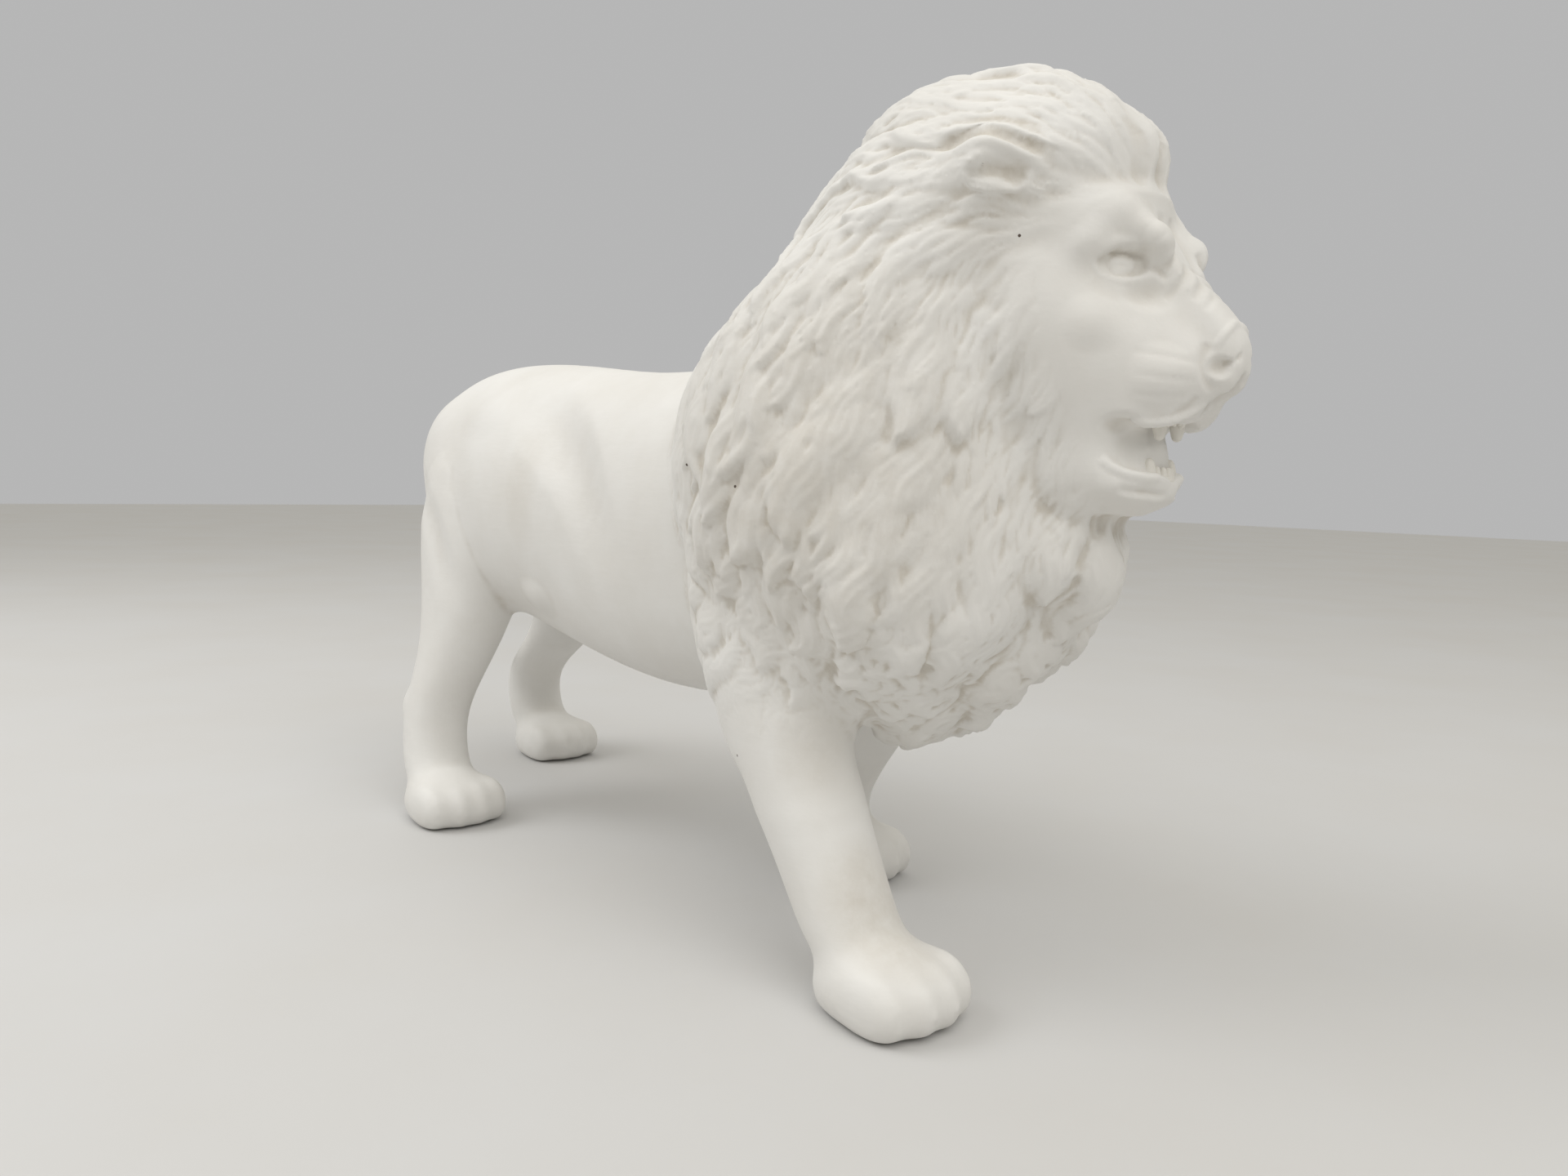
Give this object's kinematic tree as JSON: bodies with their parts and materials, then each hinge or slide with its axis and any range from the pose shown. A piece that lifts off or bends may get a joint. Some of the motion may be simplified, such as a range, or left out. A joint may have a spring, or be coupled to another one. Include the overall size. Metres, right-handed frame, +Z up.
{
  "type": "lion figure",
  "caption": "Standing toy lion figure in a walking pose, with a full mane and an open mouth, all matte white.",
  "frame": {"origin": "middle of the bounding box on the ground plane, under the belly", "axes": "+X out of the chest, the way the lion walks; +Y to its left; +Z up"},
  "size_m": [0.3086, 0.096, 0.1885],
  "materials": {
    "white_paint": "matte warm white paint over moulded plastic",
    "tooth_paint": "matte warm white paint over moulded plastic"
  },
  "bodies": {
    "root": {"trunk_left_shell": "white_paint", "trunk_right_shell": "white_paint", "mane_left_shell": "white_paint", "mane_right_shell": "white_paint", "head_shell": "white_paint", "lower_jaw": "white_paint", "upper_teeth": "tooth_paint", "lower_teeth": "tooth_paint", "front_right_leg": "white_paint", "front_left_leg": "white_paint", "rear_right_leg": "white_paint", "rear_left_leg": "white_paint", "tail": "white_paint"}
  },
  "joints": []
}
